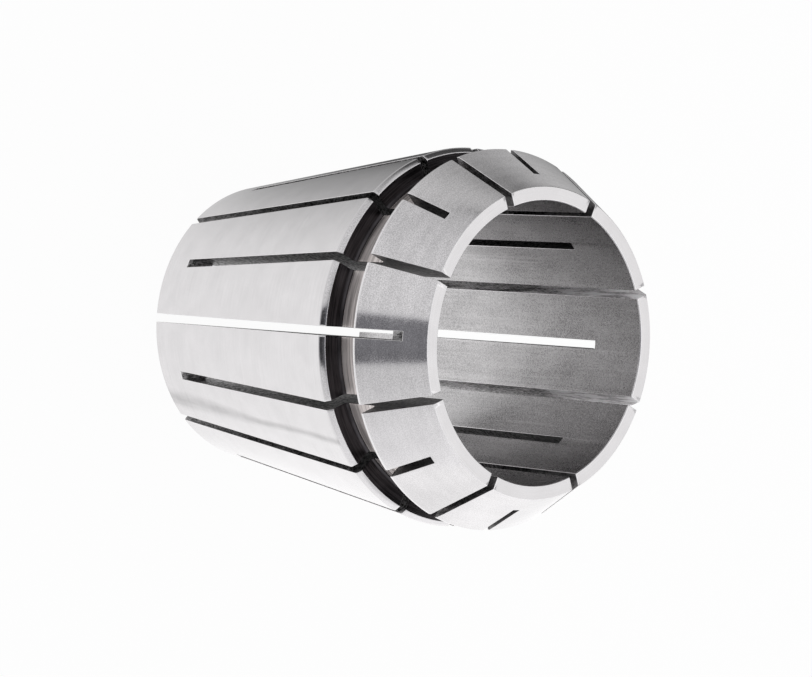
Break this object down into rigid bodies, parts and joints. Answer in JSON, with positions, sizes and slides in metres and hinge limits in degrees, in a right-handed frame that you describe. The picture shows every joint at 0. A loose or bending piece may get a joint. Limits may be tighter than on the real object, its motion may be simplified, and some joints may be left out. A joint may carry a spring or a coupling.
{
  "type": "er collet",
  "caption": "Slotted steel spring collet: long taper for the chuck, snap groove and nose taper for the nut, straight bore that closes on a round shank.",
  "frame": {"origin": "on the axis, in the plane of the small back face that the collet stands on", "axes": "+Z along the axis to the front face; X and Y each run through a slot cut from the back end"},
  "size_m": [0.041, 0.041, 0.046],
  "materials": {
    "ground_steel": "hardened steel, ground satin on the tapers and in the bore"
  },
  "bodies": {
    "root": {"collet": "ground_steel"}
  },
  "joints": []
}
